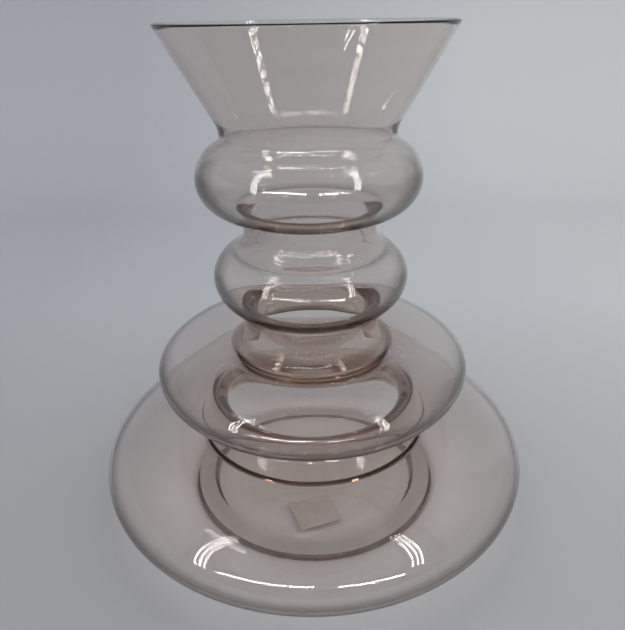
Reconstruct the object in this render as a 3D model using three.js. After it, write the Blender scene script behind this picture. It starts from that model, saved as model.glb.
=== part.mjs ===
// Tiered glass vase: one blown wall of revolution, with a small paper label under its raised base.
// Millimetres, +Z up. The origin is on the axis, on the plane of the foot.
import * as THREE from "three";

const { degToRad, lerp } = THREE.MathUtils;

// The mouth: a straight funnel with a rounded lip.
const RIM_RADIUS = 67;
const FUNNEL_HEIGHT = 47.2;
const FUNNEL_BEND = 12;

// Each swelling: its widest radius, and the height and reach of its shoulders above and below that radius.
const UPPER_BULGE = { radius: 55.5, rise: 18, riseReach: 18.5, drop: 17.1, dropReach: 18.1 };
const LOWER_BULGE = { radius: 50.7, rise: 18.9, riseReach: 25, drop: 20.2, dropReach: 25.1 };
const SAUCER = { radius: 84.9, rise: 13.6, riseReach: 27, drop: 20.6, dropReach: 37.9 };
const BASE = { radius: 120, rise: 24, riseReach: 42, drop: 22.6, dropReach: 50 };

// Glass is thin where it was blown wide, and gathers at the waists.
const WALL = 1.4;
const BOTTOM_WALL = 2;

// Each waist: its radius, upright length and wall. Below it a skirt flares to a lean, then turns into the
// tier below in a crease; a crease alone is a plain cove. Gather is the share of the waist's extra thickness
// that has built up where the crease begins.
const THROAT = { radius: 42.5, wall: 1.8, flare: 0, lean: 0, crease: 5, gather: 0.6 };
const UPPER_WAIST = { radius: 33.8, length: 6.8, wall: 4.5, flare: 0, lean: 0, crease: 9, gather: 0.6 };
const LOWER_WAIST = {
  radius: 36.5, length: 7.2, wall: 7, flare: 20, lean: degToRad(36), crease: 1.6, gather: 0.3,
};
const COLLAR = {
  radius: 54.5, length: 0.8, wall: 6, flare: 13.4, lean: degToRad(70), crease: 1.6, gather: 0.3,
};

// The plain cove that leads from each waist into the tier above it.
const COVE = { flare: 0, lean: 0, crease: 3, gather: 0.3 };

// The foot: a low ring with a leaning side, round a pushed-up middle.
const FOOT = { radius: 70, wall: WALL, flare: 0, lean: degToRad(50), crease: 9, gather: 0 };
const FOOT_WIDTH = 8;
const FOOT_BEND = 4;
const PUSH_UP = 3;
const PUSH_UP_SLOPE = 7;

// A blank square label, stuck under the pushed-up middle. Its outer side keeps a margin from the middle's edge.
const LABEL_SIDE = 24;
const LABEL_THICKNESS = 0.2;
const LABEL_GLUE = 0.1;
const LABEL_MARGIN = 6.5;
const LABEL_TURN = degToRad(20);

// Facets: steps round the axis and along each kind of arc.
const TURN_STEPS = 40;
const SWELL_STEPS = 5;
const CREASE_STEPS = 2;
const FLARE_STEPS = 3;
const LIP_STEPS = 4;

// The inner radius of the foot's ring, and the radius of the flat middle that it goes round.
const footInner = FOOT.radius - FOOT_WIDTH;
const middleRadius = footInner - PUSH_UP_SLOPE;

const SMOKY_GLASS = { color: 0x968f8d, roughness: 0.03, metalness: 0, transparent: true, opacity: 0.4 };
const LABEL_PAPER = { color: 0xb4b0ae, roughness: 0.8, metalness: 0 };

// Stations of the wall along an elliptical arc. Each has a point on the outer skin, the direction out of
// the glass, and the wall's thickness. On a hollow arc, such as a cove, the glass lies outside the ellipse.
// Settle says how late along the arc the thickness changes.
function arc({
  centre, halfWidth, halfHeight, from, to, steps, hollow = false, wallFrom, wallTo, settle = 1,
}) {
  const stations = [];
  for (let step = 0; step <= steps; step += 1) {
    const part = step / steps;
    const angle = lerp(from, to, part);
    const spoke = new THREE.Vector2(Math.cos(angle), Math.sin(angle));
    const point = new THREE.Vector2(halfWidth, halfHeight).multiply(spoke).add(centre);
    const outward = new THREE.Vector2(halfHeight, halfWidth).multiply(spoke).normalize();
    if (hollow) {
      outward.negate();
    }
    stations.push({ point, outward, wall: lerp(wallFrom, wallTo, part ** settle) });
  }
  return stations;
}

// One shoulder of a swelling, from its widest radius to the upright wall of a waist, with heights measured
// from the widest radius: the swell, the crease that touches it, and the flare of the skirt. The swell ends
// where the crease's far end falls on the foot of the skirt, found by halving the angle that is in doubt.
const HALVINGS = 50;
function shoulder(radius, rise, reach, waist, { flare, lean, crease, gather }) {
  const centreRadius = radius - reach;
  const skirtFoot = waist.radius + flare * (1 - Math.cos(lean));
  let [near, far] = [0, Math.PI];
  let [meeting, facing] = [0, 0];
  for (let halving = 0; halving < HALVINGS; halving += 1) {
    meeting = (near + far) / 2;
    facing = Math.atan2(Math.sin(meeting) / rise, Math.cos(meeting) / reach);
    const creaseReach = crease * (Math.cos(lean) - Math.cos(facing));
    if (centreRadius + reach * Math.cos(meeting) > skirtFoot + creaseReach) {
      near = meeting;
    } else {
      far = meeting;
    }
  }
  const skirtLevel = rise * Math.sin(meeting) + crease * (Math.sin(facing) - Math.sin(lean));
  const height = skirtLevel + flare * Math.sin(lean);
  const creaseWall = lerp(WALL, waist.wall, gather);
  const skirtWall = flare > 0 ? (creaseWall + waist.wall) / 2 : waist.wall;
  const swell = arc({
    centre: new THREE.Vector2(centreRadius, 0),
    halfWidth: reach,
    halfHeight: rise,
    from: 0,
    to: meeting,
    steps: SWELL_STEPS,
    wallFrom: WALL,
    wallTo: creaseWall,
    settle: 3,
  });
  const turn = arc({
    centre: new THREE.Vector2(skirtFoot + crease * Math.cos(lean), skirtLevel + crease * Math.sin(lean)),
    halfWidth: crease,
    halfHeight: crease,
    from: facing + Math.PI,
    to: lean + Math.PI,
    steps: CREASE_STEPS,
    hollow: true,
    wallFrom: creaseWall,
    wallTo: skirtWall,
  });
  const skirt = flare > 0 ? arc({
    centre: new THREE.Vector2(waist.radius + flare, height),
    halfWidth: flare,
    halfHeight: flare,
    from: lean + Math.PI,
    to: Math.PI,
    steps: FLARE_STEPS,
    hollow: true,
    wallFrom: skirtWall,
    wallTo: waist.wall,
  }) : [];
  return { height, stations: [...swell, ...turn.slice(1), ...skirt.slice(1)] };
}

// A shoulder set upright on the height of its widest radius, leaving out that radius itself.
function raised(part, level) {
  const shift = new THREE.Vector2(0, level);
  return part.stations.slice(1).map(({ point, outward, wall }) => (
    { point: point.clone().add(shift), outward, wall }
  ));
}

// A shoulder hung below the height of its widest radius, running up from the waist to that radius.
function hung(part, level) {
  const flip = new THREE.Vector2(1, -1);
  const shift = new THREE.Vector2(0, level);
  return part.stations.map(({ point, outward, wall }) => (
    { point: point.clone().multiply(flip).add(shift), outward: outward.clone().multiply(flip), wall }
  )).reverse();
}

// The tiers stand on one another: each waist joins the shoulder below it to the shoulder above it.
const baseUnder = shoulder(BASE.radius, BASE.drop, BASE.dropReach, FOOT, FOOT);
const baseLevel = FOOT_BEND * (1 - Math.sin(FOOT.lean)) + baseUnder.height;
const tiers = [];
let level = baseLevel;
[
  [BASE, COLLAR, SAUCER],
  [SAUCER, LOWER_WAIST, LOWER_BULGE],
  [LOWER_BULGE, UPPER_WAIST, UPPER_BULGE],
].forEach(([below, waist, above]) => {
  const top = shoulder(below.radius, below.rise, below.riseReach, waist, waist);
  const under = shoulder(above.radius, above.drop, above.dropReach, waist, COVE);
  tiers.push(...raised(top, level));
  level += top.height + waist.length + under.height;
  tiers.push(...hung(under, level));
});
const crown = shoulder(UPPER_BULGE.radius, UPPER_BULGE.rise, UPPER_BULGE.riseReach, THROAT, THROAT);
tiers.push(...raised(crown, level));
const throatLevel = level + crown.height;
const rimLevel = throatLevel + FUNNEL_HEIGHT;

// The inner skin of a stretch of wall.
function lining(stations) {
  return stations.map(({ point, outward, wall }) => point.clone().addScaledVector(outward, -wall));
}

// The base below its widest radius. The outer skin runs over the pushed-up middle, down an S-shaped slope of
// two equal arcs, and across the ring of the foot. The inner skin runs straight over the foot, which is solid.
function bottom() {
  const slopeAngle = 2 * Math.atan(PUSH_UP / PUSH_UP_SLOPE);
  const slopeBend = PUSH_UP_SLOPE / 2 / Math.sin(slopeAngle);
  const slopeArc = { halfWidth: slopeBend, halfHeight: slopeBend, steps: CREASE_STEPS, wallFrom: 0, wallTo: 0 };
  const crest = arc({
    ...slopeArc,
    centre: new THREE.Vector2(middleRadius, PUSH_UP - slopeBend),
    from: Math.PI / 2,
    to: Math.PI / 2 - slopeAngle,
  });
  const valley = arc({
    ...slopeArc,
    centre: new THREE.Vector2(footInner, slopeBend),
    from: -Math.PI / 2 - slopeAngle,
    to: -Math.PI / 2,
  });
  const heel = arc({
    centre: new THREE.Vector2(FOOT.radius - FOOT_BEND * Math.cos(FOOT.lean), FOOT_BEND),
    halfWidth: FOOT_BEND,
    halfHeight: FOOT_BEND,
    from: -Math.PI / 2,
    to: -FOOT.lean,
    steps: CREASE_STEPS,
    wallFrom: 0,
    wallTo: 0,
  });
  const under = hung(baseUnder, baseLevel);
  const bowl = under.slice(-1 - SWELL_STEPS);
  const ring = [...crest, ...valley.slice(1), ...heel, ...under.slice(1)];
  return {
    outside: [new THREE.Vector2(0, PUSH_UP), ...ring.map((station) => station.point)],
    inside: [new THREE.Vector2(0, PUSH_UP + BOTTOM_WALL), ...lining(bowl)],
  };
}

// The funnel's wall runs straight between the bend at the throat and the lip, and is tangent to both.
const bendCentre = new THREE.Vector2(THROAT.radius + FUNNEL_BEND, throatLevel);
const lipCentre = new THREE.Vector2(RIM_RADIUS - WALL / 2, rimLevel - WALL / 2);
const bendToLip = lipCentre.clone().sub(bendCentre);
const funnelLean = Math.atan2(bendToLip.x, bendToLip.y)
  + Math.asin((FUNNEL_BEND + WALL / 2) / bendToLip.length());

// The vessel is one closed profile: up the outside, over the lip, and down the inside to the axis.
function glassVessel() {
  const bend = arc({
    centre: bendCentre,
    halfWidth: FUNNEL_BEND,
    halfHeight: FUNNEL_BEND,
    from: Math.PI,
    to: Math.PI - funnelLean,
    steps: FLARE_STEPS,
    hollow: true,
    wallFrom: THROAT.wall,
    wallTo: WALL,
  });
  const lip = arc({
    centre: lipCentre,
    halfWidth: WALL / 2,
    halfHeight: WALL / 2,
    from: -funnelLean,
    to: Math.PI - funnelLean,
    steps: LIP_STEPS,
    wallFrom: 0,
    wallTo: 0,
  });
  const { outside, inside } = bottom();
  const wall = [...tiers, ...bend.slice(1)];
  const skin = [...wall, ...lip].map((station) => station.point);
  const back = [...inside, ...lining(wall)].reverse();
  const geometry = new THREE.LatheGeometry([...outside, ...skin, ...back], TURN_STEPS);
  geometry.rotateX(Math.PI / 2);
  const mesh = new THREE.Mesh(geometry, new THREE.MeshStandardMaterial(SMOKY_GLASS));
  mesh.name = "glass_vessel";
  return mesh;
}

// The label lies flat under the pushed-up middle, a film of glue below the glass.
function baseLabel() {
  const geometry = new THREE.BoxGeometry(LABEL_SIDE, LABEL_SIDE, LABEL_THICKNESS);
  const mesh = new THREE.Mesh(geometry, new THREE.MeshStandardMaterial(LABEL_PAPER));
  const offset = middleRadius - LABEL_MARGIN - LABEL_SIDE / 2;
  mesh.position.set(0, -offset, PUSH_UP - LABEL_GLUE - LABEL_THICKNESS / 2);
  mesh.rotation.z = LABEL_TURN;
  mesh.name = "base_label";
  return mesh;
}

const vase = new THREE.Group();
vase.add(glassVessel(), baseLabel());

export default vase;
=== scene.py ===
import math

import bpy
from mathutils import Matrix, Vector


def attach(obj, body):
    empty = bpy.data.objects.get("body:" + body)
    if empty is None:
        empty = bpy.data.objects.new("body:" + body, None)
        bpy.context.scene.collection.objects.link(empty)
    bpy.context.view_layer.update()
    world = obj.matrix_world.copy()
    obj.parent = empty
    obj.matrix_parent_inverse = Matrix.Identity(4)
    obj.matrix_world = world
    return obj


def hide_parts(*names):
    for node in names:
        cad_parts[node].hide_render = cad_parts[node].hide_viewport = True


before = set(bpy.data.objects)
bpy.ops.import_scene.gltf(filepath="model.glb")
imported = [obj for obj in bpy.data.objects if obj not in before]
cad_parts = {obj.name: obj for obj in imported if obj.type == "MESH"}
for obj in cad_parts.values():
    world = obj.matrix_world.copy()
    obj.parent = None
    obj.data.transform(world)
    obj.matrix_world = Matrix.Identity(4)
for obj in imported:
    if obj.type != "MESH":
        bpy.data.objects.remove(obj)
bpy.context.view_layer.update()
MM = 0.001

# The mouth: a straight funnel with a rounded lip.
RIM_RADIUS = 67 * MM
FUNNEL_HEIGHT = 47.2 * MM
FUNNEL_BEND = 12 * MM

# Each swelling: its widest radius, and the height and reach of its shoulders above and below that radius.
UPPER_BULGE = dict(
    radius=55.5 * MM, rise=18 * MM, rise_reach=18.5 * MM, drop=17.1 * MM, drop_reach=18.1 * MM)
LOWER_BULGE = dict(
    radius=50.7 * MM, rise=18.9 * MM, rise_reach=25 * MM, drop=20.2 * MM, drop_reach=25.1 * MM)
SAUCER = dict(
    radius=84.9 * MM, rise=13.6 * MM, rise_reach=27 * MM, drop=20.6 * MM, drop_reach=37.9 * MM)
BASE = dict(
    radius=120 * MM, rise=24 * MM, rise_reach=42 * MM, drop=22.6 * MM, drop_reach=50 * MM)

# Glass is thin where it was blown wide, and gathers at the waists.
WALL = 1.4 * MM
BOTTOM_WALL = 2 * MM

# Each waist: its radius, upright length and wall. Below it a skirt flares to a lean, then turns into the tier
# below in a crease. Gather is the share of the waist's extra thickness that is there where the crease begins.
THROAT = dict(radius=42.5 * MM, wall=1.8 * MM, flare=0.0, lean=0.0, crease=5 * MM, gather=0.6)
UPPER_WAIST = dict(
    radius=33.8 * MM, length=6.8 * MM, wall=4.5 * MM, flare=0.0, lean=0.0, crease=9 * MM, gather=0.6)
LOWER_WAIST = dict(
    radius=36.5 * MM, length=7.2 * MM, wall=7 * MM,
    flare=20 * MM, lean=math.radians(36), crease=1.6 * MM, gather=0.3)
COLLAR = dict(
    radius=54.5 * MM, length=0.8 * MM, wall=6 * MM,
    flare=13.4 * MM, lean=math.radians(70), crease=1.6 * MM, gather=0.3)

# The plain cove that leads from each waist into the tier above it.
COVE = dict(flare=0.0, lean=0.0, crease=3 * MM, gather=0.3)

# The foot: a low ring with a leaning side, round a pushed-up middle.
FOOT = dict(radius=70 * MM, wall=WALL, flare=0.0, lean=math.radians(50), crease=9 * MM, gather=0.0)
FOOT_WIDTH = 8 * MM
FOOT_BEND = 4 * MM
PUSH_UP = 3 * MM
PUSH_UP_SLOPE = 7 * MM
FOOT_INNER = FOOT["radius"] - FOOT_WIDTH
MIDDLE_RADIUS = FOOT_INNER - PUSH_UP_SLOPE

# The blank label under the pushed-up middle, with one corner that hangs a little from the glass.
LABEL_SIDE = 24 * MM
LABEL_THICKNESS = 0.2 * MM
LABEL_GLUE = 0.1 * MM
LABEL_MARGIN = 6.5 * MM
LABEL_TURN = math.radians(20)
LABEL_DROOP = 0.5 * MM
LOOSE_ALONG = 0.7
LOOSE_ACROSS = 0.5
LOOSE_FROM = 0.45
LABEL_CELLS = 24

# How finely the glass is turned, and how closely its creases are fitted.
TURN_STEPS = 200
SWELL_STEPS = 22
COVE_STEPS = 12
LIP_STEPS = 10
FUNNEL_STEPS = 24
MIDDLE_STEPS = 8
CREASE_HALVINGS = 50

# The hand-blown wall wavers by hundredths of a millimetre, except at the foot, which stands flat.
WAVER = 0.06 * MM
WAVER_SPACING = 30 * MM
WAVER_SQUEEZE = 1.6
RIPPLE = 0.01 * MM
RIPPLE_SPACING = 26 * MM
RIPPLE_SQUEEZE = 9.0
WAVER_SEED = 4.0
GROUND_HEIGHT = 6 * MM
WELD_DISTANCE = 0.002 * MM

# Rose-taupe glass: what its thickness does to light, and tints for its cords, with painted shade browner
# towards the top and in dark edges.
GLASS_IOR = 1.51
GLASS_DEPTH = (0.68, 0.54, 0.45, 1.0)
GLASS_DENSITY = 100.0
CLEAR = (1.0, 1.0, 1.0)
CORD_STRETCH = (9.0, 9.0, 70.0)
CORD_SCALE = 2.2
CORD_TINTS = [(0.3, (0.968, 0.960, 0.957)), (0.7, (0.988, 0.983, 0.981))]
TOP_SHADE_TINT = (0.955, 0.935, 0.918)
TOP_SHADE_FROM = 150 * MM
TOP_SHADE_FULL = 220 * MM
SOFT_EDGE_SHADE = [(0.65, CLEAR), (0.85, (0.8, 0.765, 0.75)), (1.0, (0.6, 0.545, 0.525))]
DARK_EDGE_SHADE = [
    (0.42, CLEAR), (0.56, (0.53, 0.50, 0.49)), (0.7, (0.14, 0.128, 0.123)), (1.0, (0.03, 0.026, 0.025))]
EDGE_REFLECTION_SHADE = [(0.55, CLEAR), (0.8, (0.25, 0.25, 0.25)), (1.0, (0.1, 0.1, 0.1))]

# Painted shade: the dark edges lie in a band round each tier, centred a little below its widest level.
EDGE_SHADE_DROP = 4 * MM
EDGE_SHADE_FULL = 8 * MM
EDGE_SHADE_GONE = 12 * MM

# Painted shade: the glass is painted browner in a ring at the foot of the lower waist's skirt, a little above
# the saucer's level.
SKIRT_SHADE_TINT = (0.58, 0.50, 0.45)
SKIRT_SHADE_RISE = 11.5 * MM
SKIRT_SHADE_FULL = 1 * MM
SKIRT_SHADE_GONE = 4 * MM
SKIRT_SHADE_FULL_RADIUS = 44 * MM
SKIRT_SHADE_GONE_RADIUS = 45 * MM

# Painted shade: the face of the foot is painted a little darker where it stands.
FOOT_SHADE_TINT = (0.82, 0.87, 0.90)
FOOT_SHADE_HEIGHT = 0.3 * MM
FOOT_UNSHADED_HEIGHT = 1 * MM

# Uncoated paper: its tones, and how fine its fibres and the patches of glue under them are.
PAPER_TONES = [(0.3, (0.575, 0.562, 0.565)), (0.7, (0.675, 0.667, 0.67))]
FIBRE_SCALE = 900.0
GLUE_SCALE = 160.0
FIBRE_SHARE = 0.35
FIBRE_RELIEF = 0.05 * MM

# The blue-grey sheet, with painted light: tones from left to right near the camera and far from it, lighter
# to the right and far back, and a pool of painted light in its paler middle. Each span is where one tone
# gives way to the next, in metres.
NEAR_PAINTED_LIGHT = [(0.0, (0.352, 0.359, 0.381)), (1.0, (0.468, 0.479, 0.487))]
FAR_PAINTED_LIGHT = [(0.0, (0.44, 0.452, 0.49)), (1.0, (0.60, 0.625, 0.645))]
PAINTED_LIGHT_UNDER_VASE = (0.73, 0.757, 0.795, 1.0)
SHEET_ACROSS = (-0.3, 0.3)
SHEET_BACK = (-0.1, 0.25)
PAINTED_LIGHT_FADE = (0.125, 0.085)

# The screen, with painted shade: dim on the camera's side, and pale from there round the back.
SCREEN_TONES = [(0.0, (0.12, 0.121, 0.124)), (1.0, (0.44, 0.452, 0.475))]
SCREEN_FADE = (-2.0, -0.75)

# The sheet and the screen lie just below the foot, so that no two faces meet.
SHEET_DROP = 0.4 * MM
SCREEN_DROP = 1.2 * MM

# Strips of small lights: their ends, width, glow, and how many lights lie along and across each.
LIGHT_STRIPS = {
    "left_strip": ((-0.87, -0.68, 0.37), (-0.87, 0.0, 2.2), 0.14, 16, 42, 3),
    "right_strip": ((0.8, -0.76, 0.51), (0.8, -0.05, 2.0), 0.14, 16, 36, 3),
    "front_row_left": ((-1.19, -1.2, 0.70), (0.0, -1.2, 0.60), 0.10, 50, 22, 2),
    "front_row_right": ((0.19, -1.2, 0.545), (0.98, -1.2, 0.55), 0.10, 50, 14, 2),
    "upper_bar": ((-0.664, 0.035, 1.1), (-0.462, -0.375, 1.1), 0.05, 12, 24, 2),
}
STRIP_TARGET = Vector((0, 0, 0.08))
LIGHT_HALF_LENGTH_SQUARED = 0.09
LIGHT_HALF_WIDTH_SQUARED = 0.015
LIGHT_STRENGTH = 4.0
GLOW_TO_WATTS = math.pi * 0.6

# The room: what the glass shows, by height and from the camera's side to the back, and the dome that lights
# the sheet, from left to right.
HEIGHT_TONES = [(0.0, (0.12, 0.12, 0.12)), (0.3, (0.28, 0.28, 0.28)), (1.0, (0.6, 0.6, 0.6))]
SIDE_TONES = [(0.0, (0.25, 0.25, 0.25)), (1.0, CLEAR)]
SIDE_SPAN = (-0.7, 0.2)
DOME_TONES = [(0.0, (0.75, 0.75, 0.76)), (1.0, (1.15, 1.15, 1.15))]

# The camera of the photograph: its eye, where it looks, and its focal length on the image.
IMAGE_WIDTH = 625
FOCAL_PIXELS = 601.0
SENSOR_WIDTH = 36.0
EYE = Vector((0.0, -0.2946, 0.2574))
PITCH = 0.467
YAW = 0.002
ROLL = -0.017


# Outline of the glass: stations along the wall, each a point, the direction out of the glass and a thickness.
def arc_stations(centre, half_width, half_height, start, end, steps, walls, hollow=False, settle=1):
    stations = []
    for step in range(steps + 1):
        part = step / steps
        angle = start + (end - start) * part
        spoke = Vector((math.cos(angle), math.sin(angle)))
        point = Vector((centre[0] + half_width * spoke.x, centre[1] + half_height * spoke.y))
        outward = Vector((half_height * spoke.x, half_width * spoke.y)).normalized()
        wall = walls[0] + (walls[1] - walls[0]) * part ** settle
        stations.append((point, -outward if hollow else outward, wall))
    return stations


def shoulder(radius, rise, reach, waist, skirt):
    """A shoulder from its widest radius to a waist: the swell, a crease, and a skirt that flares."""
    flare, lean, crease = skirt["flare"], skirt["lean"], skirt["crease"]
    centre = radius - reach
    skirt_foot = waist["radius"] + flare * (1 - math.cos(lean))
    near, far = 0.0, math.pi
    for halving in range(CREASE_HALVINGS):
        meeting = (near + far) / 2
        facing = math.atan2(math.sin(meeting) / rise, math.cos(meeting) / reach)
        if centre + reach * math.cos(meeting) > skirt_foot + crease * (math.cos(lean) - math.cos(facing)):
            near = meeting
        else:
            far = meeting
    height = rise * math.sin(meeting) + flare * math.sin(lean) + crease * (math.sin(facing) - math.sin(lean))
    foot_wall = WALL + (waist["wall"] - WALL) * skirt["gather"]
    skirt_wall = (foot_wall + waist["wall"]) / 2 if flare else waist["wall"]
    crease_centre = (
        skirt_foot + crease * math.cos(lean), height - flare * math.sin(lean) + crease * math.sin(lean))
    stations = arc_stations(
        (centre, 0), reach, rise, 0, meeting, SWELL_STEPS, (WALL, foot_wall), settle=3)
    stations += arc_stations(
        crease_centre, crease, crease, math.pi + facing, math.pi + lean, COVE_STEPS,
        (foot_wall, skirt_wall), hollow=True)[1:]
    if flare:
        stations += arc_stations(
            (waist["radius"] + flare, height), flare, flare, math.pi + lean, math.pi, COVE_STEPS,
            (skirt_wall, waist["wall"]), hollow=True)[1:]
    return height, stations


def raised(stations, level):
    return [(Vector((p.x, p.y + level)), n, w) for p, n, w in stations[1:]]


def hung(stations, level):
    return [(Vector((p.x, level - p.y)), Vector((n.x, -n.y)), w) for p, n, w in reversed(stations)]


def foot_and_base():
    """The base below its widest radius: its level, its outer skin with the foot, and its inner skin."""
    quarter = math.pi / 2
    slope = 2 * math.atan(PUSH_UP / PUSH_UP_SLOPE)
    bend = PUSH_UP_SLOPE / 2 / math.sin(slope)
    under_height, under = shoulder(BASE["radius"], BASE["drop"], BASE["drop_reach"], FOOT, FOOT)
    level = FOOT_BEND * (1 - math.sin(FOOT["lean"])) + under_height
    under = hung(under, level)
    bare = (0, 0)
    crest = (MIDDLE_RADIUS, PUSH_UP - bend)
    valley = (FOOT_INNER, bend)
    heel = (FOOT["radius"] - FOOT_BEND * math.cos(FOOT["lean"]), FOOT_BEND)
    skin = arc_stations(crest, bend, bend, quarter, quarter - slope, COVE_STEPS, bare)
    skin += arc_stations(valley, bend, bend, -quarter - slope, -quarter, COVE_STEPS, bare)[1:]
    skin += arc_stations(heel, FOOT_BEND, FOOT_BEND, -quarter, -FOOT["lean"], LIP_STEPS, bare)
    outside = [Vector((part * MIDDLE_RADIUS / MIDDLE_STEPS, PUSH_UP)) for part in range(MIDDLE_STEPS)]
    outside += [point for point, outward, wall in skin + under]
    bowl = [point - outward * wall for point, outward, wall in under[-SWELL_STEPS - 1:]]
    floor_middle = Vector((0, PUSH_UP + BOTTOM_WALL))
    inside = [floor_middle.lerp(bowl[0], part / MIDDLE_STEPS) for part in range(MIDDLE_STEPS)] + bowl
    return level, outside, inside


def funnel(level):
    """The stations of the mouth above the throat: the bend, the straight slope, and the lip."""
    bend_centre = Vector((THROAT["radius"] + FUNNEL_BEND, level))
    lip_centre = Vector((RIM_RADIUS - WALL / 2, level + FUNNEL_HEIGHT - WALL / 2))
    reach = lip_centre - bend_centre
    lean = math.atan2(reach.x, reach.y) + math.asin((FUNNEL_BEND + WALL / 2) / reach.length)
    bend = arc_stations(
        bend_centre, FUNNEL_BEND, FUNNEL_BEND, math.pi, math.pi - lean, COVE_STEPS,
        (THROAT["wall"], WALL), hollow=True)
    lip = arc_stations(lip_centre, WALL / 2, WALL / 2, -lean, math.pi - lean, LIP_STEPS, (0, 0))
    slope_foot, slope_out, _ = bend[-1]
    slope = []
    for step in range(1, FUNNEL_STEPS):
        slope.append((slope_foot.lerp(lip[0][0], step / FUNNEL_STEPS), slope_out, WALL))
    return bend[1:] + slope, lip


def glass_outline():
    """The level of each tier, and the closed outline: up the outside, over the lip, and down the inside."""
    level, outside, inside = foot_and_base()
    wall = []
    levels = [level]
    tiers = [BASE, SAUCER, LOWER_BULGE, UPPER_BULGE]
    for below, waist, above in zip(tiers, (COLLAR, LOWER_WAIST, UPPER_WAIST), tiers[1:]):
        up_height, up = shoulder(below["radius"], below["rise"], below["rise_reach"], waist, waist)
        down_height, down = shoulder(above["radius"], above["drop"], above["drop_reach"], waist, COVE)
        wall += raised(up, level)
        level += up_height + waist["length"] + down_height
        wall += hung(down, level)
        levels.append(level)
    top = UPPER_BULGE
    top_height, top_shoulder = shoulder(top["radius"], top["rise"], top["rise_reach"], THROAT, THROAT)
    wall += raised(top_shoulder, level)
    mouth, lip = funnel(level + top_height)
    wall += mouth
    outside += [p for p, n, w in wall + lip]
    inside += [p - n * w for p, n, w in wall]
    return levels, outside + inside[::-1]


# Node trees: small helpers that add and link nodes.
def add_node(tree, kind, inputs=(), **settings):
    node = tree.nodes.new(kind)
    for name, value in settings.items():
        setattr(node, name, value)
    for key, value in dict(inputs).items():
        if isinstance(value, bpy.types.NodeSocket):
            tree.links.new(value, node.inputs[key])
        else:
            node.inputs[key].default_value = value
    return node


def maths(tree, operation, first, second=0.0):
    return add_node(tree, "ShaderNodeMath", {0: first, 1: second}, operation=operation).outputs[0]


def share_between(tree, value, low, high):
    return add_node(tree, "ShaderNodeMapRange", {0: value, 1: low, 2: high}).outputs[0]


def mixed_colour(tree, share, first, second, blend="MIX"):
    inputs = {0: share, 6: first, 7: second}
    return add_node(tree, "ShaderNodeMix", inputs, data_type="RGBA", blend_type=blend).outputs[2]


def ramp(tree, value, stops):
    node = add_node(tree, "ShaderNodeValToRGB", {0: value})
    while len(node.color_ramp.elements) < len(stops):
        node.color_ramp.elements.new(0.5)
    for element, (position, colour) in zip(node.color_ramp.elements, stops):
        element.position = position
        element.color = (*colour, 1.0)
    return node.outputs[0]


# Geometry nodes that turn the outline into the wall of the vessel.
def wall_swing(tree, given, amount, spacing, squeeze, place):
    """How far a point of the wall strays: noise drawn out round the axis, of a given amount and spacing."""
    squeezed = add_node(
        tree, "ShaderNodeVectorMath", {0: place, 1: (1.0, 1.0, squeeze)}, operation="MULTIPLY")
    noise = add_node(tree, "ShaderNodeTexNoise", {
        "Vector": squeezed.outputs[0],
        "W": given["Seed"],
        "Scale": maths(tree, "DIVIDE", 1.0, given[spacing]),
        "Detail": 1.0,
        "Roughness": 0.4,
    }, noise_dimensions="4D")
    return maths(tree, "MULTIPLY", maths(tree, "SUBTRACT", noise.outputs[0], 0.5), given[amount])


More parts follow.
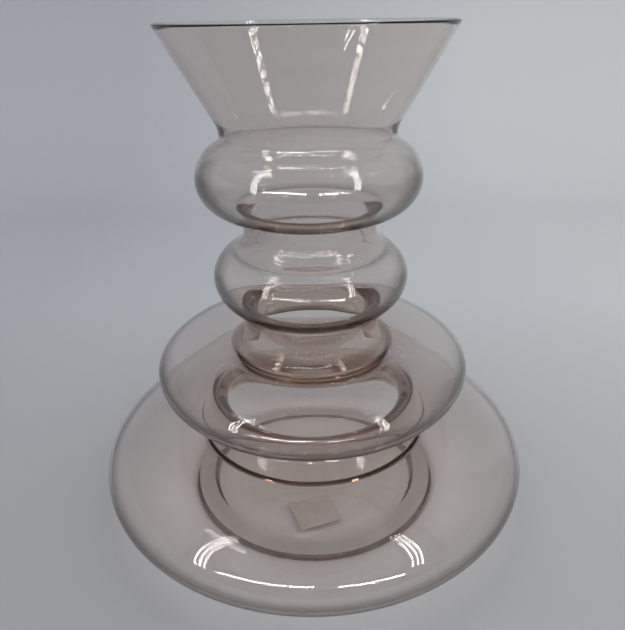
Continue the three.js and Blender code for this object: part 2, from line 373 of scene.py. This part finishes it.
def turned_glass_tree():
    """Turns an outline round Z, then lets the hand-blown wall waver by fractions of a millimetre."""
    tree = bpy.data.node_groups.new("turned_glass", "GeometryNodeTree")
    face = tree.interface
    face.new_socket("Outline", in_out="INPUT", socket_type="NodeSocketGeometry")
    kinds = {
        "Turn steps": "NodeSocketInt",
        "Waver": "NodeSocketFloat",
        "Waver spacing": "NodeSocketFloat",
        "Ripple": "NodeSocketFloat",
        "Ripple spacing": "NodeSocketFloat",
        "Seed": "NodeSocketFloat",
        "Glass": "NodeSocketMaterial",
    }
    sockets = {name: face.new_socket(name, in_out="INPUT", socket_type=kind) for name, kind in kinds.items()}
    face.new_socket("Wall", in_out="OUTPUT", socket_type="NodeSocketGeometry")
    given = tree.nodes.new("NodeGroupInput").outputs

    size = add_node(
        tree, "GeometryNodeAttributeDomainSize", {"Geometry": given["Outline"]}, component="MESH")
    columns = maths(tree, "ADD", given["Turn steps"], 1.0)
    grid = add_node(
        tree, "GeometryNodeMeshGrid", {"Vertices X": size.outputs["Point Count"], "Vertices Y": columns})
    index = tree.nodes.new("GeometryNodeInputIndex").outputs[0]
    station = maths(tree, "FLOOR", maths(tree, "DIVIDE", index, columns))
    turn = maths(tree, "SUBTRACT", index, maths(tree, "MULTIPLY", station, columns))
    angle = maths(tree, "MULTIPLY", maths(tree, "DIVIDE", turn, given["Turn steps"]), 2 * math.pi)
    place = tree.nodes.new("GeometryNodeInputPosition").outputs[0]
    outline = add_node(
        tree, "GeometryNodeSampleIndex", {"Geometry": given["Outline"], "Value": place, "Index": station},
        data_type="FLOAT_VECTOR", domain="POINT")
    parts = add_node(tree, "ShaderNodeSeparateXYZ", {0: outline.outputs[0]}).outputs
    turned = add_node(tree, "ShaderNodeCombineXYZ", {
        0: maths(tree, "MULTIPLY", parts[0], maths(tree, "COSINE", angle)),
        1: maths(tree, "MULTIPLY", parts[0], maths(tree, "SINE", angle)),
        2: parts[2],
    }).outputs[0]
    wall = add_node(tree, "GeometryNodeSetPosition", {"Geometry": grid.outputs[0], "Position": turned})
    outward = add_node(tree, "GeometryNodeFlipFaces", {"Mesh": wall.outputs[0]})
    closed = add_node(
        tree, "GeometryNodeMergeByDistance", {"Geometry": outward.outputs[0], "Distance": WELD_DISTANCE})

    normal = tree.nodes.new("GeometryNodeInputNormal").outputs[0]
    waver = wall_swing(tree, given, "Waver", "Waver spacing", WAVER_SQUEEZE, place)
    ripple = wall_swing(tree, given, "Ripple", "Ripple spacing", RIPPLE_SQUEEZE, place)
    swing = maths(tree, "ADD", waver, ripple)
    push = add_node(tree, "ShaderNodeVectorMath", {0: normal, "Scale": swing}, operation="SCALE")
    height = add_node(tree, "ShaderNodeSeparateXYZ", {0: place}).outputs[2]
    wavy = add_node(tree, "GeometryNodeSetPosition", {
        "Geometry": closed.outputs[0],
        "Selection": maths(tree, "GREATER_THAN", height, GROUND_HEIGHT),
        "Offset": push.outputs[0],
    })
    smooth = add_node(tree, "GeometryNodeSetShadeSmooth", {"Geometry": wavy.outputs[0]})
    real = add_node(tree, "GeometryNodeRealizeInstances", {"Geometry": smooth.outputs[0]})
    dressed = add_node(
        tree, "GeometryNodeSetMaterial", {"Geometry": real.outputs[0], "Material": given["Glass"]})
    tree.links.new(dressed.outputs[0], tree.nodes.new("NodeGroupOutput").inputs[0])
    return tree, sockets


# Objects.
def linked(name, data):
    thing = bpy.data.objects.new(name, data)
    bpy.context.scene.collection.objects.link(thing)
    return thing


def finished_piece(name, start_mesh, tree, sockets, values):
    """Runs a tree on a starting mesh and keeps the result as a plain mesh object."""
    carrier = linked(name + "_start", start_mesh)
    modifier = carrier.modifiers.new(name, "NODES")
    modifier.node_group = tree
    for key, value in values.items():
        modifier[sockets[key].identifier] = value
    evaluated = carrier.evaluated_get(bpy.context.evaluated_depsgraph_get())
    mesh = bpy.data.meshes.new_from_object(evaluated)
    mesh.name = name
    carrier.modifiers.remove(modifier)
    bpy.data.objects.remove(carrier)
    return linked(name, mesh)


def plain_piece(name, verts, faces, material, smooth=True):
    mesh = bpy.data.meshes.new(name)
    mesh.from_pydata(verts, [], faces)
    mesh.polygons.foreach_set("use_smooth", [smooth] * len(mesh.polygons))
    mesh.materials.append(material)
    return linked(name, mesh)


# Materials.
def new_material(name):
    material = bpy.data.materials.new(name)
    material.use_nodes = True
    tree = material.node_tree
    tree.nodes.clear()
    output = tree.nodes.new("ShaderNodeOutputMaterial")
    place = tree.nodes.new("ShaderNodeTexCoord").outputs["Object"]
    return material, tree, output, place


def smoky_glass(tier_levels):
    """Clear glass that its thickness colours: faint cords, and painted shade, browner above, brown at the
    skirt, darker where the foot stands and at the edges.
    """
    material, tree, output, place = new_material("smoky_glass")
    height = add_node(tree, "ShaderNodeSeparateXYZ", {0: place}).outputs[2]
    flat = add_node(tree, "ShaderNodeVectorMath", {0: place, 1: (1.0, 1.0, 0.0)}, operation="MULTIPLY")
    radius = add_node(tree, "ShaderNodeVectorMath", {0: flat.outputs[0]}, operation="LENGTH").outputs["Value"]
    drawn = add_node(tree, "ShaderNodeMapping", {"Vector": place, "Scale": CORD_STRETCH}).outputs[0]
    cords = add_node(
        tree, "ShaderNodeTexNoise", {"Vector": drawn, "Scale": CORD_SCALE, "Detail": 3.0, "Roughness": 0.5})
    tint = ramp(tree, cords.outputs[0], CORD_TINTS)
    # Painted shade: the glass is tinted browner towards the top, from 150 mm up.
    upper = share_between(tree, height, TOP_SHADE_FROM, TOP_SHADE_FULL)
    painted_top_shade = ramp(tree, upper, [(0.0, CLEAR), (1.0, TOP_SHADE_TINT)])
    # Painted shade: a brown ring at the foot of the lower waist's skirt.
    saucer_level = tier_levels[1]
    from_skirt = maths(tree, "ABSOLUTE", maths(tree, "SUBTRACT", height, saucer_level + SKIRT_SHADE_RISE))
    near_skirt = share_between(tree, from_skirt, SKIRT_SHADE_GONE, SKIRT_SHADE_FULL)
    in_skirt = share_between(tree, radius, SKIRT_SHADE_GONE_RADIUS, SKIRT_SHADE_FULL_RADIUS)
    painted_skirt_shade = ramp(tree, maths(tree, "MULTIPLY", near_skirt, in_skirt), [(0.0, CLEAR), (1.0, SKIRT_SHADE_TINT)])
    # Painted shade: the face of the foot is darker where it stands.
    at_foot = share_between(tree, height, FOOT_UNSHADED_HEIGHT, FOOT_SHADE_HEIGHT)
    painted_foot_shade = ramp(tree, at_foot, [(0.0, CLEAR), (1.0, FOOT_SHADE_TINT)])
    # Painted shade: the glass is darkened where it is seen at a grazing angle, darkest in a band round each
    # tier.
    facing = add_node(tree, "ShaderNodeLayerWeight", {"Blend": 0.5}).outputs["Facing"]
    widest = 0.0
    for level in tier_levels:
        apart = maths(tree, "ABSOLUTE", maths(tree, "SUBTRACT", height, level - EDGE_SHADE_DROP))
        widest = maths(tree, "MAXIMUM", widest, share_between(tree, apart, EDGE_SHADE_GONE, EDGE_SHADE_FULL))
    edge = mixed_colour(tree, widest, ramp(tree, facing, SOFT_EDGE_SHADE), ramp(tree, facing, DARK_EDGE_SHADE))
    # The painted shade tints for the top, skirt, foot and edges all multiply into the glass colour with the
    # cords.
    for layer in (painted_top_shade, painted_skirt_shade, painted_foot_shade, edge):
        tint = mixed_colour(tree, 1.0, tint, layer, "MULTIPLY")
    body = add_node(tree, "ShaderNodeBsdfPrincipled", {
        "Base Color": tint,
        "Roughness": 0.0,
        "IOR": GLASS_IOR,
        "Transmission Weight": 1.0,
        # Painted shade: reflections are dimmed where the glass is seen at a grazing angle.
        "Specular Tint": ramp(tree, facing, EDGE_REFLECTION_SHADE),
    })
    depth = add_node(tree, "ShaderNodeVolumeAbsorption", {"Color": GLASS_DEPTH, "Density": GLASS_DENSITY})
    tree.links.new(body.outputs[0], output.inputs["Surface"])
    tree.links.new(depth.outputs[0], output.inputs["Volume"])
    return material


def label_paper():
    """Uncoated paper: matt, with fine fibres and a little unevenness where the glue has taken."""
    material, tree, output, place = new_material("label_paper")
    fibres = add_node(tree, "ShaderNodeTexNoise", {"Vector": place, "Scale": FIBRE_SCALE, "Detail": 5.0})
    glue = add_node(tree, "ShaderNodeTexNoise", {"Vector": place, "Scale": GLUE_SCALE, "Detail": 2.0})
    mottle = maths(
        tree, "ADD",
        maths(tree, "MULTIPLY", fibres.outputs[0], FIBRE_SHARE),
        maths(tree, "MULTIPLY", glue.outputs[0], 1 - FIBRE_SHARE))
    bump = add_node(
        tree, "ShaderNodeBump", {"Height": fibres.outputs[0], "Strength": 0.25, "Distance": FIBRE_RELIEF})
    body = add_node(tree, "ShaderNodeBsdfPrincipled", {
        "Base Color": ramp(tree, mottle, PAPER_TONES),
        "Roughness": 0.85,
        "Normal": bump.outputs[0],
    })
    tree.links.new(body.outputs[0], output.inputs["Surface"])
    return material


def sweep_paint():
    """The blue-grey sheet that the vase stands on, with painted light: a little brighter to the right and far
    back, and paler under the vase.
    """
    material, tree, output, place = new_material("sweep_paint")
    parts = add_node(tree, "ShaderNodeSeparateXYZ", {0: place}).outputs
    # Painted light: the sheet is painted lighter to the right and far back.
    across = share_between(tree, parts[0], *SHEET_ACROSS)
    back = share_between(tree, parts[1], *SHEET_BACK)
    painted_light_sheet = mixed_colour(tree, back, ramp(tree, across, NEAR_PAINTED_LIGHT), ramp(tree, across, FAR_PAINTED_LIGHT))
    away = add_node(tree, "ShaderNodeVectorMath", {0: place}, operation="LENGTH").outputs["Value"]
    # Painted light: a paler pool on the sheet under the vase.
    under = share_between(tree, away, *PAINTED_LIGHT_FADE)
    body = add_node(tree, "ShaderNodeBsdfPrincipled", {
        "Base Color": mixed_colour(tree, under, painted_light_sheet, PAINTED_LIGHT_UNDER_VASE),
        "Roughness": 0.7,
        "Specular IOR Level": 0.2,
    })
    tree.links.new(body.outputs[0], output.inputs["Surface"])
    return material


def screen_paint():
    """A screen far round the vase: pale at the sides and back, and dim on the camera's side, where shade is
    painted.
    """
    material, tree, output, place = new_material("screen_paint")
    parts = add_node(tree, "ShaderNodeSeparateXYZ", {0: place}).outputs
    back = share_between(tree, parts[1], *SCREEN_FADE)
    body = add_node(tree, "ShaderNodeBsdfPrincipled", {
        "Base Color": ramp(tree, back, SCREEN_TONES),
        "Roughness": 0.8,
        "Specular IOR Level": 0.1,
    })
    tree.links.new(body.outputs[0], output.inputs["Surface"])
    return material


# The pieces of the vase.
def blown_glass():
    tier_levels, outline = glass_outline()
    mesh = bpy.data.meshes.new("glass_outline")
    mesh.from_pydata(
        [(p.x, 0.0, p.y) for p in outline], [(step, step + 1) for step in range(len(outline) - 1)], [])
    tree, sockets = turned_glass_tree()
    return finished_piece("blown_glass", mesh, tree, sockets, {
        "Turn steps": TURN_STEPS,
        "Waver": WAVER,
        "Waver spacing": WAVER_SPACING,
        "Ripple": RIPPLE,
        "Ripple spacing": RIPPLE_SPACING,
        "Seed": WAVER_SEED,
        "Glass": smoky_glass(tier_levels),
    })


def paper_label():
    """A thin sheet under the glass: two grids, below and above, joined round their edge."""
    offset = MIDDLE_RADIUS - LABEL_MARGIN - LABEL_SIDE / 2
    turn = Matrix.Rotation(LABEL_TURN, 3, "Z")
    verts, faces = [], []
    for thickness_below in (LABEL_THICKNESS, 0.0):
        for row in range(LABEL_CELLS + 1):
            for column in range(LABEL_CELLS + 1):
                u, v = column / LABEL_CELLS, row / LABEL_CELLS
                loose = max(0.0, (1 - v) * LOOSE_ALONG + (1 - u) * LOOSE_ACROSS - LOOSE_FROM)
                z = PUSH_UP - LABEL_GLUE - thickness_below - LABEL_DROOP * loose ** 2
                flat = turn @ Vector(((u - 0.5) * LABEL_SIDE, (v - 0.5) * LABEL_SIDE, 0))
                verts.append((flat.x, flat.y - offset, z))

    def corner(layer, row, column):
        return (layer * (LABEL_CELLS + 1) + row) * (LABEL_CELLS + 1) + column

    for row in range(LABEL_CELLS):
        for column in range(LABEL_CELLS):
            cell = [(row, column), (row, column + 1), (row + 1, column + 1), (row + 1, column)]
            faces.append([corner(1, *place) for place in cell])
            faces.append([corner(0, *place) for place in reversed(cell)])
    onward = range(LABEL_CELLS)
    homeward = range(LABEL_CELLS, 0, -1)
    edge = [(0, k) for k in onward] + [(k, LABEL_CELLS) for k in onward]
    edge += [(LABEL_CELLS, k) for k in homeward] + [(k, 0) for k in homeward]
    for here, there in zip(edge, edge[1:] + edge[:1]):
        faces.append([corner(0, *here), corner(0, *there), corner(1, *there), corner(1, *here)])
    return plain_piece("paper_label", verts, faces, label_paper(), smooth=False)


# The stage: a sheet under and behind the vase, and a round screen far off.
def swept_line(flat, bend, top, steps):
    """A floor that runs flat, bends up and ends upright, as pairs of distance and height."""
    line = [(flat, 0.0)]
    for step in range(1, steps + 1):
        angle = step / steps * math.pi / 2
        line.append((flat + bend * math.sin(angle), bend - bend * math.cos(angle)))
    return line + [(flat + bend, top)]


def photo_sweep():
    front, half_width = -0.75, 1.6
    line = [(front, 0.0)] + swept_line(flat=0.55, bend=0.35, top=1.3, steps=24)
    verts = [(side * half_width, y, z - SHEET_DROP) for y, z in line for side in (-1, 1)]
    faces = [(2 * k, 2 * k + 1, 2 * k + 3, 2 * k + 2) for k in range(len(line) - 1)]
    return plain_piece("photo_sweep", verts, faces, sweep_paint())


def round_screen():
    sides = 96
    line = [(0.0, 0.0)] + swept_line(flat=2.2, bend=0.4, top=1.1, steps=12)
    verts, faces = [], []
    for side in range(sides):
        turn = side / sides * 2 * math.pi
        verts += [(far * math.cos(turn), far * math.sin(turn), z - SCREEN_DROP) for far, z in line]
        here, there = side * len(line), (side + 1) % sides * len(line)
        faces += [(here + k, here + k + 1, there + k + 1, there + k) for k in range(len(line) - 1)]
    return plain_piece("round_screen", verts, faces, screen_paint())


# Light: strips of small lights that only glint on the glass, and the room.
def lit_at_first_sight(tree):
    """One for light that has met only glass, and nothing for light that a matt surface has scattered."""
    return maths(tree, "LESS_THAN", tree.nodes.new("ShaderNodeLightPath").outputs["Diffuse Depth"], 0.5)


def light_strip(name, start, end, width, glow, lights, rows):
    start, end = Vector(start), Vector(end)
    middle = (start + end) / 2
    along = (end - start).normalized()
    facing = STRIP_TARGET - middle
    facing = (facing - along * facing.dot(along)).normalized()
    side = along.cross(facing).normalized()
    strip = bpy.data.lights.new(name, "AREA")
    strip.shape = "RECTANGLE"
    strip.size, strip.size_y = (end - start).length, width
    strip.energy = glow * strip.size * strip.size_y * GLOW_TO_WATTS
    strip.use_nodes = True
    tree = strip.node_tree
    face = tree.nodes.new("ShaderNodeNewGeometry").outputs["Parametric"]
    parts = add_node(tree, "ShaderNodeSeparateXYZ", {0: face}).outputs
    lit = LIGHT_STRENGTH
    for place, count, limit in (
            (parts[0], lights, LIGHT_HALF_LENGTH_SQUARED), (parts[1], rows, LIGHT_HALF_WIDTH_SQUARED)):
        cell = maths(tree, "FRACT", maths(tree, "MULTIPLY", place, float(count)))
        from_middle = maths(tree, "POWER", maths(tree, "SUBTRACT", cell, 0.5), 2.0)
        lit = maths(tree, "MULTIPLY", maths(tree, "LESS_THAN", from_middle, limit), lit)
    emission = next(node for node in tree.nodes if node.type == "EMISSION")
    strength = maths(tree, "MULTIPLY", lit, lit_at_first_sight(tree))
    tree.links.new(strength, emission.inputs["Strength"])
    lamp = linked(name, strip)
    turned = Matrix((along, side, -facing)).transposed().to_4x4()
    lamp.matrix_world = Matrix.Translation(middle) @ turned
    lamp.visible_diffuse = False


def room_light():
    """A soft bright dome lights the sheet. What the glass shows is dimmer, and dark towards the camera."""
    world = bpy.data.worlds.new("room")
    bpy.context.scene.world = world
    world.use_nodes = True
    world.cycles.sampling_method = "NONE"
    tree = world.node_tree
    tree.nodes.clear()
    generated = tree.nodes.new("ShaderNodeTexCoord").outputs["Generated"]
    direction = add_node(tree, "ShaderNodeSeparateXYZ", {0: generated}).outputs
    height_tone = ramp(tree, share_between(tree, direction[2], 0.0, 1.0), HEIGHT_TONES)
    side_tone = ramp(tree, share_between(tree, direction[1], *SIDE_SPAN), SIDE_TONES)
    shown = mixed_colour(tree, 1.0, height_tone, side_tone, "MULTIPLY")
    dome = ramp(tree, share_between(tree, direction[0], -1.0, 1.0), DOME_TONES)
    light = mixed_colour(tree, lit_at_first_sight(tree), dome, shown)
    glow = add_node(tree, "ShaderNodeBackground", {0: light, 1: 1.0})
    tree.links.new(glow.outputs[0], tree.nodes.new("ShaderNodeOutputWorld").inputs[0])


def photo_camera():
    """Where the photograph was taken from, about level with the rim and looking down at the tiers."""
    forward = Vector((math.sin(YAW) * math.cos(PITCH), math.cos(YAW) * math.cos(PITCH), -math.sin(PITCH)))
    level_right = Vector((math.cos(YAW), -math.sin(YAW), 0))
    level_up = level_right.cross(forward)
    right = level_right * math.cos(ROLL) + level_up * math.sin(ROLL)
    up = level_up * math.cos(ROLL) - level_right * math.sin(ROLL)
    lens = bpy.data.cameras.new("photo_camera")
    lens.sensor_fit = "HORIZONTAL"
    lens.sensor_width = SENSOR_WIDTH
    lens.lens = SENSOR_WIDTH * FOCAL_PIXELS / IMAGE_WIDTH
    lens.clip_start = 10 * MM
    camera = linked("photo_camera", lens)
    turned = Matrix((right, up, -forward)).transposed().to_4x4()
    camera.matrix_world = Matrix.Translation(EYE) @ turned
    bpy.context.scene.camera = camera


glass = blown_glass()
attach(glass, "root")
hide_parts("glass_vessel")

label = paper_label()
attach(label, "root")
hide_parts("base_label")

photo_sweep()
screen = round_screen()
screen.visible_diffuse = False

for strip_name, strip_values in LIGHT_STRIPS.items():
    light_strip(strip_name, *strip_values)
room_light()
photo_camera()

# Light crosses many walls of glass, and keeps its sharpness and strength on the way to the sheet.
scene = bpy.context.scene
scene.view_settings.view_transform = "Standard"
scene.cycles.max_bounces = 40
scene.cycles.transmission_bounces = 40
scene.cycles.glossy_bounces = 8
scene.cycles.sample_clamp_indirect = 0.0
scene.cycles.blur_glossy = 0.0
